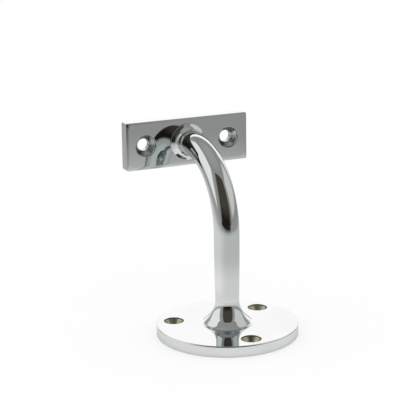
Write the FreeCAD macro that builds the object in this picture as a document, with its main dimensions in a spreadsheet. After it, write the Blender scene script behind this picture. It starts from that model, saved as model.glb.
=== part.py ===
"""Handrail bracket: a bent arm screwed between a round wall plate and a flat saddle plate.

The wall plate lies on z = 0 with its centre at the origin. The arm rises along +Z, which is
away from the wall, and turns towards +Y, which is up in use. The saddle plate stands at the
end of the arm with its long side along X, and the rail lies on its +Y face.
All sizes are in millimetres and degrees.
"""
import FreeCAD, Part
import math
import os

import Sketcher

# name, size, what it measures
SIZES = [
    ("wall_plate_diameter", 63.0, "round wall plate, across"),
    ("wall_plate_thickness", 5.0, "round wall plate, front to back"),
    ("wall_plate_rim_bevel", 0.5, "bevel polished onto the front rim"),
    ("wall_plate_back_bevel", 0.3, "bevel on the back rim"),
    ("wall_hole_count", 3, "screw holes round the wall plate"),
    ("wall_hole_edge", 7.5, "centre of a wall screw hole to the rim"),
    ("wall_hole_bore", 5.5, "wall screw hole, through diameter"),
    ("wall_hole_mouth", 8.9, "wall screw hole, countersink at its widest"),
    ("wall_hole_sink", 0.6, "straight wall above that countersink"),
    ("saddle_length", 60.0, "saddle plate along the rail"),
    ("saddle_width", 22.0, "saddle plate across the rail"),
    ("saddle_thickness", 6.0, "saddle plate, front to back"),
    ("saddle_corner_round", 0.8, "radius on the four corners of its outline"),
    ("saddle_front_bevel", 0.3, "bevel polished round its front face"),
    ("saddle_back_round", 0.9, "radius polished round its rail face"),
    ("rail_hole_edge", 9.5, "centre of a rail screw hole to the plate's end"),
    ("rail_hole_bore", 5.6, "rail screw hole, through diameter"),
    ("rail_hole_mouth", 9.8, "rail screw hole, countersink at its widest"),
    ("rail_hole_sink", 1.3, "straight wall above that countersink"),
    ("hole_mouth_bevel", 0.2, "bevel polished onto the mouths of the screw holes"),
    ("countersink_angle", 90.0, "included angle of every countersink"),
    ("projection", 79.0, "wall face to the middle of the saddle plate"),
    ("arm_reach", 41.5, "axis of the stem to the front of the saddle plate"),
    ("arm_diameter", 11.2, "arm through the bend"),
    ("head_run", 8.0, "end of the bend to the front of the saddle plate"),
    ("foot_taper", 0.6, "radius that the arm loses from the bend to the wall plate"),
    ("foot_diameter", 22.1, "flared foot on the wall plate"),
    ("foot_lip", 0.6, "height of the foot's straight lip"),
    ("foot_slope", 48.0, "slope of the foot's flare from the arm's axis"),
    ("foot_sweep", 10.8, "radius that sweeps the foot's flare into the stem"),
    ("boss_taper", 0.15, "radius that the arm loses from the bend to the saddle plate"),
    ("boss_diameter", 16.9, "flared boss on the saddle plate"),
    ("boss_lip", 0.5, "height of the boss's straight lip"),
    ("boss_slope", 58.0, "slope of the boss's flare from the arm's axis"),
    ("boss_sweep", 4.0, "radius that sweeps the boss's flare into the arm"),
    ("lip_bevel", 0.25, "bevel on the lips of foot and boss"),
    ("screw_diameter", 6.0, "machine screw that holds a plate to the arm"),
    ("screw_length", 14.0, "machine screw, overall"),
    ("screw_head_diameter", 11.4, "head of the machine screw"),
    ("screw_head_land", 0.4, "straight edge of the screw's head"),
    ("screw_sink", 0.3, "screw's head below the back of its plate"),
    ("socket_width", 4.0, "hexagon socket, across flats"),
    ("socket_depth", 2.2, "hexagon socket, deep"),
    ("thread_clearance", 0.05, "gap round the screw in its threaded hole"),
    ("head_clearance", 0.05, "gap round the screw and its head in the plate"),
    ("tip_clearance", 1.0, "threaded hole beyond the screw's tip"),
    ("drill_point_angle", 118.0, "included angle at the end of the threaded hole"),
]

document = FreeCAD.newDocument("handrail_bracket")
sheet = document.addObject("Spreadsheet::Sheet", "Sizes")
size = {}
for row, (alias, number, meaning) in enumerate(SIZES, start=1):
    sheet.set(f"A{row}", alias)
    sheet.set(f"B{row}", str(number))
    sheet.set(f"C{row}", meaning)
    sheet.setAlias(f"B{row}", alias)
    size[alias] = number
document.recompute()

X_AXIS = FreeCAD.Vector(1, 0, 0)
Z_AXIS = FreeCAD.Vector(0, 0, 1)
FACING_STEM = FreeCAD.Rotation(X_AXIS, 90)  # turns +Z to -Y, from the saddle plate to the stem
FULL_TURN = 360.0
HEXAGON_SIDES = 6
VOLUME_ERROR = 1e-6
LENGTH_ERROR = 1e-3

# sizes that follow from the driving ones, as the sheet's expressions and as numbers
BEND_RADIUS = "(Sizes.arm_reach - Sizes.head_run)"
BEND_START = f"(Sizes.projection - {BEND_RADIUS})"
STEM_LENGTH = f"({BEND_START} - Sizes.wall_plate_thickness)"
WALL_HOLE_OFFSET = "(Sizes.wall_plate_diameter / 2 - Sizes.wall_hole_edge)"
RAIL_HOLE_OFFSET = "(Sizes.saddle_length / 2 - Sizes.rail_hole_edge)"
bend_radius = size["arm_reach"] - size["head_run"]
bend_start = size["projection"] - bend_radius
stem_length = bend_start - size["wall_plate_thickness"]


# ---------------------------------------------------------------- helpers

def new_body(label):
    """A body whose label names its node and its file."""
    body = document.addObject("PartDesign::Body", label)
    body.Label = label
    return body


def new_sketch(body, name, role, offset=(None, None, None), turn=0.0):
    """A sketch on one of the body's origin planes.

    The offset's expressions move it along the plane's own x, y and normal, and turn
    turns it about that normal, in degrees.
    """
    sketch = body.newObject("Sketcher::SketchObject", name)
    plane = next(item for item in body.Origin.OriginFeatures if item.Role == role)
    sketch.AttachmentSupport = (plane, "")
    sketch.MapMode = "FlatFace"
    sketch.AttachmentOffset = FreeCAD.Placement(FreeCAD.Vector(), FreeCAD.Rotation(Z_AXIS, turn))
    for axis, expression in zip("xyz", offset):
        if expression is not None:
            sketch.setExpression(f"AttachmentOffset.Base.{axis}", expression)
    return sketch


def dimension(sketch, name, constraint, expression):
    """Adds a named constraint and binds it to the sheet."""
    index = sketch.addConstraint(constraint)
    sketch.renameConstraint(index, name)
    sketch.setExpression(f"Constraints.{name}", expression)


def add_line(sketch, start, end):
    """A straight edge; returns its index."""
    edge = Part.LineSegment(FreeCAD.Vector(*start, 0), FreeCAD.Vector(*end, 0))
    return sketch.addGeometry(edge, False)


def add_arc(sketch, centre, radius, start, end):
    """An arc drawn anticlockwise about its centre from start to end; returns its index."""
    first = math.atan2(start[1] - centre[1], start[0] - centre[0])
    last = math.atan2(end[1] - centre[1], end[0] - centre[0])
    if last < first:
        last += 2 * math.pi
    circle = Part.Circle(FreeCAD.Vector(*centre, 0), Z_AXIS, radius)
    return sketch.addGeometry(Part.ArcOfCircle(circle, first, last), False)


def add_circle(sketch, name, expression, radius, centre=None):
    """A circle whose radius follows the sheet, held on the origin if no centre is given."""
    middle = FreeCAD.Vector(*(centre or (0.0, 0.0)), 0)
    index = sketch.addGeometry(Part.Circle(middle, Z_AXIS, radius), False)
    dimension(sketch, name, Sketcher.Constraint("Radius", index, radius), expression)
    if centre is None:
        sketch.addConstraint(Sketcher.Constraint("Coincident", index, 3, -1, 1))
    return index


def add_outline(sketch, corners):
    """A closed outline of straight edges through the corners; returns their indices."""
    edges = [add_line(sketch, a, b) for a, b in zip(corners, corners[1:] + corners[:1])]
    for first, second in zip(edges, edges[1:] + edges[:1]):
        sketch.addConstraint(Sketcher.Constraint("Coincident", first, 2, second, 1))
    return edges


def pad(body, name, sketch, expression):
    """Pads the body's sketch to a length from the sheet."""
    feature = body.newObject("PartDesign::Pad", name)
    feature.Profile = sketch
    feature.setExpression("Length", expression)
    document.recompute()
    return feature


def revolve(body, name, sketch):
    """Turns the sketch once round its own vertical axis."""
    feature = body.newObject("PartDesign::Revolution", name)
    feature.Profile = sketch
    feature.ReferenceAxis = (sketch, ["V_Axis"])
    feature.Angle = FULL_TURN
    document.recompute()
    return feature


def cut_since(feature, volume_before):
    """Stops if a feature that should cut took nothing away."""
    if not feature.Shape.Volume < volume_before - VOLUME_ERROR:
        raise RuntimeError(f"{feature.Label} cut nothing")


def drill(body, name, sketch, bore, mouth=None, sink=None, depth=None, inward=False):
    """Holes at the sketch's circles.

    With a mouth they are countersunk below a straight wall of height sink. With a depth
    they are blind and end in a drill point, otherwise they go through. They are cut
    against the sketch's normal, or along it if inward is set.
    """
    document.recompute()
    before = body.Tip.Shape.Volume
    hole = body.newObject("PartDesign::Hole", name)
    hole.Profile = sketch
    hole.Reversed = inward
    hole.ThreadType = "None"
    hole.DepthType = "Dimension" if depth else "ThroughAll"
    hole.setExpression("Diameter", bore)
    if mouth:
        hole.HoleCutType = "Counterdrill"
        hole.HoleCutCustomValues = True
        hole.setExpression("HoleCutDiameter", mouth)
        hole.setExpression("HoleCutCountersinkAngle", "Sizes.countersink_angle")
        hole.setExpression("HoleCutDepth", sink)
    if depth:
        hole.DrillPoint = "Angled"
        hole.setExpression("DrillPointAngle", "Sizes.drill_point_angle")
        hole.setExpression("Depth", depth)
    document.recompute()
    cut_since(hole, before)
    return hole


def edges_where(feature, test):
    """The names of the feature's edges that pass a test."""
    return [f"Edge{i}" for i, edge in enumerate(feature.Shape.Edges, start=1) if test(edge)]


def is_ring(edge, radius, level):
    """True for a full circle of this radius about a line along Z, at this level."""
    if not edge.isClosed() or not lies_at(edge, level):
        return False
    return abs(edge.Curve.Radius - radius) < LENGTH_ERROR


def lies_at(edge, level):
    """True for an edge that lies in the level plane at this z."""
    box = edge.BoundBox
    return abs(box.ZMin - level) < LENGTH_ERROR and abs(box.ZMax - level) < LENGTH_ERROR


def dress_edges(body, name, kind, measure, edges, alias):
    """Works these edges of the body's last feature, to a size from the sheet."""
    if not edges:
        raise RuntimeError(f"{name} found no edge")
    feature = body.newObject(kind, name)
    feature.Base = (feature.BaseFeature, edges)
    feature.setExpression(measure, f"Sizes.{alias}")
    document.recompute()
    return feature


def round_edges(body, name, edges, alias):
    """A fillet of this radius."""
    return dress_edges(body, name, "PartDesign::Fillet", "Radius", edges, alias)


def bevel_edges(body, name, edges, alias):
    """A bevel that takes this much from both faces."""
    return dress_edges(body, name, "PartDesign::Chamfer", "Size", edges, alias)


# ---------------------------------------------------------------- plates
# Each plate lies on its own z = 0 with its back, and its front faces +Z, where the arm is.

def drill_screw_seat(body, owner):
    """The hole for the machine screw, countersunk from the middle of a plate's back."""
    seat = new_sketch(body, f"{owner}_seat_centre", "XY_Plane")
    bore = "(Sizes.screw_diameter + 2 * Sizes.head_clearance)"
    mouth = "(Sizes.screw_head_diameter + 2 * Sizes.head_clearance)"
    add_circle(seat, "bore", f"{bore} / 2", size["screw_diameter"] / 2)
    sink = "Sizes.screw_sink + Sizes.screw_head_land"
    drill(body, f"{owner}_seat", seat, bore, mouth, sink, inward=True)


def make_wall_plate():
    """Round plate with countersunk holes for the screws into the wall."""
    body = new_body("wall_plate")
    radius = size["wall_plate_diameter"] / 2
    front = size["wall_plate_thickness"]
    outline = new_sketch(body, "wall_plate_outline", "XY_Plane")
    add_circle(outline, "rim", "Sizes.wall_plate_diameter / 2", radius)
    disc = pad(body, "wall_plate_disc", outline, "Sizes.wall_plate_thickness")
    front_rim = edges_where(disc, lambda edge: is_ring(edge, radius, front))
    bevel = bevel_edges(body, "wall_plate_front_rim", front_rim, "wall_plate_rim_bevel")
    back_rim = edges_where(bevel, lambda edge: is_ring(edge, radius, 0.0))
    bevel_edges(body, "wall_plate_back_rim", back_rim, "wall_plate_back_bevel")

    # the first hole is below the stem in use, and the others follow round from it
    first = new_sketch(
        body, "wall_hole_centre", "XY_Plane", (None, None, "Sizes.wall_plate_thickness")
    )
    offset = radius - size["wall_hole_edge"]
    bore = add_circle(
        first, "bore", "Sizes.wall_hole_bore / 2", size["wall_hole_bore"] / 2, (0.0, -offset)
    )
    first.addConstraint(Sketcher.Constraint("PointOnObject", bore, 3, -2))
    from_middle = Sketcher.Constraint("DistanceY", bore, 3, -1, 1, offset)
    dimension(first, "offset", from_middle, WALL_HOLE_OFFSET)
    hole = drill(
        body, "wall_hole", first,
        "Sizes.wall_hole_bore", "Sizes.wall_hole_mouth", "Sizes.wall_hole_sink",
    )
    holes = body.newObject("PartDesign::PolarPattern", "wall_holes")
    holes.Originals = [hole]
    holes.Axis = (outline, ["N_Axis"])
    holes.Angle = FULL_TURN
    holes.setExpression("Occurrences", "Sizes.wall_hole_count")
    body.Tip = holes
    document.recompute()
    cut_since(holes, hole.Shape.Volume)
    mouth = size["wall_hole_mouth"] / 2
    mouths = edges_where(holes, lambda edge: is_ring(edge, mouth, front))
    bevel_edges(body, "wall_hole_mouths", mouths, "hole_mouth_bevel")
    drill_screw_seat(body, "wall_plate")
    return body


def make_saddle_plate():
    """Flat bar that the rail rests on, with a countersunk hole near each end."""
    body = new_body("saddle_plate")
    half_length = size["saddle_length"] / 2
    half_width = size["saddle_width"] / 2
    front = size["saddle_thickness"]
    outline = new_sketch(body, "saddle_outline", "XY_Plane")
    corners = [
        (-half_length, -half_width),
        (half_length, -half_width),
        (half_length, half_width),
        (-half_length, half_width),
    ]
    bottom, right, top, left = add_outline(outline, corners)
    for edge in (bottom, top):
        outline.addConstraint(Sketcher.Constraint("Horizontal", edge))
    for edge in (right, left):
        outline.addConstraint(Sketcher.Constraint("Vertical", edge))
    outline.addConstraint(Sketcher.Constraint("Symmetric", bottom, 1, top, 1, -1, 1))
    length = Sketcher.Constraint("DistanceX", bottom, 1, bottom, 2, size["saddle_length"])
    dimension(outline, "length", length, "Sizes.saddle_length")
    width = Sketcher.Constraint("DistanceY", right, 1, right, 2, size["saddle_width"])
    dimension(outline, "width", width, "Sizes.saddle_width")
    bar = pad(body, "saddle_bar", outline, "Sizes.saddle_thickness")
    upright = edges_where(bar, lambda edge: abs(edge.BoundBox.ZLength - front) < LENGTH_ERROR)
    fillet = round_edges(body, "saddle_corners", upright, "saddle_corner_round")
    around_front = edges_where(fillet, lambda edge: lies_at(edge, front))
    bevel = bevel_edges(body, "saddle_front_edge", around_front, "saddle_front_bevel")
    around_back = edges_where(bevel, lambda edge: lies_at(edge, 0.0))
    round_edges(body, "saddle_back_edge", around_back, "saddle_back_round")

    centres = new_sketch(
        body, "rail_hole_centres", "XY_Plane", (None, None, "Sizes.saddle_thickness")
    )
    offset = half_length - size["rail_hole_edge"]
    bore = size["rail_hole_bore"] / 2
    pair = [
        add_circle(centres, name, "Sizes.rail_hole_bore / 2", bore, (side * offset, 0.0))
        for name, side in (("left_bore", -1), ("right_bore", 1))
    ]
    centres.addConstraint(Sketcher.Constraint("Symmetric", pair[0], 3, pair[1], 3, -1, 1))
    centres.addConstraint(Sketcher.Constraint("PointOnObject", pair[1], 3, -1))
    from_middle = Sketcher.Constraint("DistanceX", -1, 1, pair[1], 3, offset)
    dimension(centres, "offset", from_middle, RAIL_HOLE_OFFSET)
    holes = drill(
        body, "rail_holes", centres,
        "Sizes.rail_hole_bore", "Sizes.rail_hole_mouth", "Sizes.rail_hole_sink",
    )
    mouth = size["rail_hole_mouth"] / 2
    mouths = edges_where(holes, lambda edge: is_ring(edge, mouth, front))
    bevel_edges(body, "rail_hole_mouths", mouths, "hole_mouth_bevel")
    drill_screw_seat(body, "saddle_plate")

    # the back of the saddle plate faces +Y, and its front stands on the arm's boss
    body.Placement = FreeCAD.Placement(FreeCAD.Vector(), FACING_STEM)
    body.setExpression("Placement.Base.y", "Sizes.arm_reach + Sizes.saddle_thickness")
    body.setExpression("Placement.Base.z", "Sizes.projection")
    return body


# ---------------------------------------------------------------- arm

def flare_points(end, side_centre, side_radius):
    """Where the edges of the arm's foot or boss meet: lip, cone's end, sweep's centre and end.

    A point is (radius, height from the plate). The sweep is a hollow arc that touches the
    cone and the arm's side, which is itself an arc of side_radius about side_centre.
    """
    slope = math.radians(size[f"{end}_slope"])
    sweep = size[f"{end}_sweep"]
    lip = FreeCAD.Vector(size[f"{end}_diameter"] / 2, size[f"{end}_lip"], 0)
    along = FreeCAD.Vector(-math.sin(slope), math.cos(slope), 0)
    outward = FreeCAD.Vector(math.cos(slope), math.sin(slope), 0)
    middle = FreeCAD.Vector(*side_centre, 0)
    away = lip + outward * sweep - middle
    drift = away.dot(along)
    run = -drift - math.sqrt(drift**2 - away.dot(away) + (side_radius + sweep) ** 2)
    centre = lip + outward * sweep + along * run
    cone_end = centre - outward * sweep
    sweep_end = middle + (centre - middle).normalize() * side_radius
    return [(point.x, point.y) for point in (lip, cone_end, centre, sweep_end)]


def draw_flared_end(sketch, end, length, length_expression):
    """Half the section of one end of the arm, from its plate up to the bend.

    The end is "foot" or "boss". From the axis the outline runs out along the plate, up the
    lip, in along the cone, through the sweep, and up the arm's side, a long flat arc that
    stands square at the bend.
    """
    end_radius = size[f"{end}_diameter"] / 2
    arm_radius = size["arm_diameter"] / 2
    taper = size[f"{end}_taper"]
    side_radius = (length**2 + taper**2) / (2 * taper)
    side_centre = (arm_radius - side_radius, length)
    lip, cone_end, sweep_centre, sweep_end = flare_points(end, side_centre, side_radius)
    base = add_line(sketch, (0, 0), (end_radius, 0))
    edge = add_line(sketch, (end_radius, 0), lip)
    cone = add_line(sketch, lip, cone_end)
    sweep = add_arc(sketch, sweep_centre, size[f"{end}_sweep"], sweep_end, cone_end)
    side = add_arc(sketch, side_centre, side_radius, sweep_end, (arm_radius, length))
    top = add_line(sketch, (arm_radius, length), (0, length))
    axis = add_line(sketch, (0, length), (0, 0))

    corners = [(base, edge), (edge, cone), (side, top), (top, axis), (axis, base)]
    for first, second in corners:
        sketch.addConstraint(Sketcher.Constraint("Coincident", first, 2, second, 1))
    sketch.addConstraint(Sketcher.Constraint("Coincident", base, 1, -1, 1))
    sketch.addConstraint(Sketcher.Constraint("Tangent", cone, 2, sweep, 2))
    sketch.addConstraint(Sketcher.Constraint("Tangent", sweep, 1, side, 1))
    for level in (base, top):
        sketch.addConstraint(Sketcher.Constraint("Horizontal", level))
    for upright in (edge, axis):
        sketch.addConstraint(Sketcher.Constraint("Vertical", upright))
    sketch.addConstraint(Sketcher.Constraint("Horizontal", side, 3, side, 2))

    Constraint = Sketcher.Constraint
    across = Constraint("DistanceX", base, 1, base, 2, end_radius)
    dimension(sketch, "end_radius", across, f"Sizes.{end}_diameter / 2")
    lip_height = Constraint("DistanceY", edge, 1, edge, 2, size[f"{end}_lip"])
    dimension(sketch, "lip_height", lip_height, f"Sizes.{end}_lip")
    cone_angle = Constraint("Angle", cone, math.radians(90 + size[f"{end}_slope"]))
    dimension(sketch, "cone_angle", cone_angle, f"90 + Sizes.{end}_slope")
    hollow = Constraint("Radius", sweep, size[f"{end}_sweep"])
    dimension(sketch, "sweep_radius", hollow, f"Sizes.{end}_sweep")
    side_curve = Constraint("Radius", side, side_radius)
    curve = f"({length_expression}^2 + Sizes.{end}_taper^2) / (2 * Sizes.{end}_taper)"
    dimension(sketch, "side_radius", side_curve, curve)
    across_arm = Constraint("DistanceX", top, 2, top, 1, arm_radius)
    dimension(sketch, "arm_radius", across_arm, "Sizes.arm_diameter / 2")
    run = Constraint("DistanceY", axis, 2, axis, 1, length)
    dimension(sketch, "run", run, length_expression)


def drill_thread(body, end, role, level, height, grip):
    """The threaded hole for the machine screw, in the middle of the foot or the boss."""
    centre = new_sketch(body, f"{end}_thread_centre", role, (None, height, level))
    bore = "(Sizes.screw_diameter + 2 * Sizes.thread_clearance)"
    add_circle(centre, "bore", f"{bore} / 2", size["screw_diameter"] / 2)
    depth = f"Sizes.screw_length + Sizes.screw_sink - {grip} + Sizes.tip_clearance"
    drill(body, f"{end}_thread", centre, bore, depth=depth, inward=True)


def make_arm():
    """Round bar, turned with a flare at each end and bent through a right angle."""
    body = new_body("arm")
    stem = new_sketch(body, "stem_section", "XZ_Plane", (None, "Sizes.wall_plate_thickness", None))
    draw_flared_end(stem, "foot", stem_length, STEM_LENGTH)
    revolve(body, "stem", stem)

    arm_radius = size["arm_diameter"] / 2
    section = new_sketch(body, "bend_section", "XY_Plane", (None, None, BEND_START))
    add_circle(section, "arm_radius", "Sizes.arm_diameter / 2", arm_radius)
    path = new_sketch(body, "bend_path", "YZ_Plane", (None, BEND_START, None))
    turn = add_arc(path, (bend_radius, 0), bend_radius, (bend_radius, bend_radius), (0, 0))
    path.addConstraint(Sketcher.Constraint("Coincident", turn, 2, -1, 1))
    path.addConstraint(Sketcher.Constraint("PointOnObject", turn, 3, -1))
    path.addConstraint(Sketcher.Constraint("Vertical", turn, 3, turn, 1))
    dimension(path, "bend_radius", Sketcher.Constraint("Radius", turn, bend_radius), BEND_RADIUS)
    bend = body.newObject("PartDesign::AdditivePipe", "bend")
    bend.Profile = section
    bend.Spine = (path, ["Edge1"])
    document.recompute()

    # the head's section is drawn like the stem's and turned to point back from the saddle
    head = new_sketch(
        body, "head_section", "YZ_Plane", ("Sizes.arm_reach", "Sizes.projection", None), turn=90
    )
    draw_flared_end(head, "boss", size["head_run"], "Sizes.head_run")
    revolve(body, "head", head)

    foot_ring = edges_where(body.Tip, is_lip("foot"))
    bevel_edges(body, "foot_lip_edge", foot_ring, "lip_bevel")
    boss_ring = edges_where(body.Tip, is_lip("boss"))
    bevel_edges(body, "boss_lip_edge", boss_ring, "lip_bevel")
    drill_thread(
        body, "foot", "XY_Plane", "Sizes.wall_plate_thickness", None, "Sizes.wall_plate_thickness"
    )
    drill_thread(
        body, "boss", "XZ_Plane", "-Sizes.arm_reach", "Sizes.projection", "Sizes.saddle_thickness"
    )
    return body


def is_lip(end):
    """A test for the upper ring of the foot's or the boss's lip."""
    radius = size[f"{end}_diameter"] / 2
    level = size["wall_plate_thickness"] + size["foot_lip"]
    reach = size["arm_reach"] - size["boss_lip"]

    def test(edge):
        curve = edge.Curve
        if not isinstance(curve, Part.Circle) or abs(curve.Radius - radius) > LENGTH_ERROR:
            return False
        beyond = curve.Center.z - level if end == "foot" else curve.Center.y - reach
        return abs(beyond) < LENGTH_ERROR

    return test


# ---------------------------------------------------------------- machine screws

def make_screw(label):
    """Countersunk machine screw with a hexagon socket, its head on z = 0 and its tip up.

    Its thread is drawn as a plain shank of the outer diameter.
    """
    body = new_body(label)
    head = size["screw_head_diameter"] / 2
    shank = size["screw_diameter"] / 2
    land = size["screw_head_land"]
    length = size["screw_length"]
    cone = (head - shank) / math.tan(math.radians(size["countersink_angle"] / 2))
    outline = new_sketch(body, f"{label}_section", "XZ_Plane")
    corners = [(0, 0), (head, 0), (head, land), (shank, land + cone), (shank, length), (0, length)]
    face, edge, slope, side, tip, axis = add_outline(outline, corners)
    Constraint = Sketcher.Constraint
    outline.addConstraint(Constraint("Coincident", face, 1, -1, 1))
    for level in (face, tip):
        outline.addConstraint(Constraint("Horizontal", level))
    for upright in (edge, side, axis):
        outline.addConstraint(Constraint("Vertical", upright))
    across_head = Constraint("DistanceX", face, 1, face, 2, head)
    dimension(outline, "head", across_head, "Sizes.screw_head_diameter / 2")
    dimension(outline, "land", Constraint("DistanceY", edge, 1, edge, 2, land), "Sizes.screw_head_land")
    slope_angle = Constraint("Angle", slope, math.radians(90 + size["countersink_angle"] / 2))
    dimension(outline, "slope", slope_angle, "90 + Sizes.countersink_angle / 2")
    across_shank = Constraint("DistanceX", -1, 1, side, 1, shank)
    dimension(outline, "shank", across_shank, "Sizes.screw_diameter / 2")
    overall = Constraint("DistanceY", axis, 2, axis, 1, length)
    dimension(outline, "length", overall, "Sizes.screw_length")
    revolve(body, f"{label}_blank", outline)

    hexagon = new_sketch(body, f"{label}_hexagon", "XY_Plane")
    corner_radius = size["socket_width"] / 2 / math.cos(math.pi / HEXAGON_SIDES)
    turns = [2 * math.pi * side / HEXAGON_SIDES for side in range(HEXAGON_SIDES)]
    points = [(corner_radius * math.cos(turn), corner_radius * math.sin(turn)) for turn in turns]
    sides = add_outline(hexagon, points)
    guide = add_circle(hexagon, "corners", "Sizes.socket_width / 2 / cos(30)", corner_radius)
    hexagon.toggleConstruction(guide)
    for side in sides:
        hexagon.addConstraint(Constraint("PointOnObject", side, 1, guide))
    for side in sides[1:]:
        hexagon.addConstraint(Constraint("Equal", sides[0], side))
    hexagon.addConstraint(Constraint("PointOnObject", sides[0], 1, -1))
    document.recompute()
    blank_volume = body.Tip.Shape.Volume
    socket = body.newObject("PartDesign::Pocket", f"{label}_socket")
    socket.Profile = hexagon
    socket.Reversed = True
    socket.setExpression("Length", "Sizes.socket_depth")
    document.recompute()
    cut_since(socket, blank_volume)
    return body


def make_wall_plate_screw():
    """Machine screw that holds the wall plate to the arm's foot."""
    body = make_screw("wall_plate_screw")
    body.setExpression("Placement.Base.z", "Sizes.screw_sink")
    return body


def make_saddle_plate_screw():
    """Machine screw that holds the saddle plate to the arm's boss."""
    body = make_screw("saddle_plate_screw")
    body.Placement = FreeCAD.Placement(FreeCAD.Vector(), FACING_STEM)
    body.setExpression("Placement.Base.y", "Sizes.arm_reach + Sizes.saddle_thickness - Sizes.screw_sink")
    body.setExpression("Placement.Base.z", "Sizes.projection")
    return body


# ---------------------------------------------------------------- build and write

def check(parts):
    """Stops if a feature failed or a part is not one sound solid."""
    for item in document.Objects:
        if "Invalid" in item.State or "Error" in item.State:
            raise RuntimeError(f"{item.Label} failed: {item.State}")
    for part in parts:
        shape = part.Shape
        if shape.isNull() or not shape.isValid() or len(shape.Solids) != 1:
            raise RuntimeError(f"{part.Label} is not one valid solid")


parts = [
    make_wall_plate(),
    make_arm(),
    make_saddle_plate(),
    make_wall_plate_screw(),
    make_saddle_plate_screw(),
]
document.recompute()
check(parts)
os.makedirs("parts", exist_ok=True)
for part in parts:
    part.Shape.exportStep(f"parts/{part.Label}.step")
    print(f"{part.Label}: {part.Shape.Volume:.1f} cubic millimetres")
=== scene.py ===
"""Looks of the handrail bracket: mirror-polished chrome in a white tent.

The bracket is a round wall plate, a bent arm with a flare at each end, and a flat saddle
plate for the rail. Sizes are in millimetres and degrees; the skins are written in metres,
in the frame of the solids: +Z leads away from the wall, +Y up in use, X along the rail.
"""

import logging
import math
from dataclasses import dataclass, field, replace
from enum import Enum
from typing import Callable, Sequence, Union

import bpy
from mathutils import Matrix, Vector
from mathutils.geometry import tessellate_polygon


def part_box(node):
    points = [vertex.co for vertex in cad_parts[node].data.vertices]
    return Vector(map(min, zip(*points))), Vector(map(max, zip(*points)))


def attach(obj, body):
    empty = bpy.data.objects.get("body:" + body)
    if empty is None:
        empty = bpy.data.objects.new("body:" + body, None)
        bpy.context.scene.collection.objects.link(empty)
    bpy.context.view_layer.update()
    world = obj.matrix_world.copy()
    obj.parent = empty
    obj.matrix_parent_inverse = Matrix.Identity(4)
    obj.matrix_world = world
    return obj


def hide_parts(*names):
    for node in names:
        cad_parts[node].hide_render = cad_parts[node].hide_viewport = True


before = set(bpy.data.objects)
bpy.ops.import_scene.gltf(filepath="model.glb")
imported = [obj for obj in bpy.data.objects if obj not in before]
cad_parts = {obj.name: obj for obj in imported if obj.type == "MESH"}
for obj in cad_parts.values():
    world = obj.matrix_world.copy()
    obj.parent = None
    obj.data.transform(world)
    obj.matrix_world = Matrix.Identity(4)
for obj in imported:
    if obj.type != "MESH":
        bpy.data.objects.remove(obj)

MM = 0.001
QUARTER = math.pi / 2
TO_DEGREES = 180 / math.pi
Pair = tuple[float, float]
Tint = tuple[float, float, float]
Colour = tuple[float, float, float, float]
Operand = Union["Value", float]
Socket = bpy.types.NodeSocket
Finishes = Sequence[bpy.types.Material]
SMOOTHLY = {"interpolation_type": "SMOOTHSTEP"}
log = logging.getLogger("handrail_bracket")


# ---- shader graphs

class Value:
    """A number that changes over a surface: a socket whose operators add Math nodes."""

    def __init__(self, graph: "Graph", socket: Socket) -> None:
        """Wraps a socket of a graph."""
        self.graph = graph
        self.socket = socket

    def _maths(self, operation: str, *operands: Operand) -> "Value":
        """Adds one Math node and wraps its result."""
        return self.graph.number("ShaderNodeMath", {"operation": operation}, operands)

    def __add__(self, other: Operand) -> "Value":
        """self + other."""
        return self._maths("ADD", self, other)

    __radd__ = __add__

    def __sub__(self, other: Operand) -> "Value":
        """self - other."""
        return self._maths("SUBTRACT", self, other)

    def __rsub__(self, other: float) -> "Value":
        """other - self."""
        return self._maths("SUBTRACT", other, self)

    def __mul__(self, other: Operand) -> "Value":
        """self * other."""
        return self._maths("MULTIPLY", self, other)

    __rmul__ = __mul__

    def __truediv__(self, other: Operand) -> "Value":
        """self / other."""
        return self._maths("DIVIDE", self, other)

    def __rtruediv__(self, other: float) -> "Value":
        """other / self."""
        return self._maths("DIVIDE", other, self)

    def __abs__(self) -> "Value":
        """The number without its sign."""
        return self._maths("ABSOLUTE", self)

    def __pow__(self, exponent: Operand) -> "Value":
        """self ** exponent."""
        return self._maths("POWER", self, exponent)

    def __rpow__(self, base: float) -> "Value":
        """base ** self."""
        return self._maths("POWER", base, self)

    def at_most(self, other: Operand) -> "Value":
        """The smaller of the two."""
        return self._maths("MINIMUM", self, other)

    def angle_from(self, other: "Value") -> "Value":
        """The angle of the point (other, self), in radians."""
        return self._maths("ARCTAN2", self, other)

    def rise(self, low: float, high: float) -> "Value":
        """Climbs smoothly from 0, where self is low, to 1, where it is high."""
        inputs = {"Value": self, "From Min": low, "From Max": high}
        return self.graph.number("ShaderNodeMapRange", SMOOTHLY, inputs, "Result")

    def hump(self, low: float, high: float, edge: float) -> "Value":
        """1 between low and high and 0 outside, with smooth edges of this width."""
        half = edge / 2
        return self.rise(low - half, low + half) * (1 - self.rise(high - half, high + half))


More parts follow.
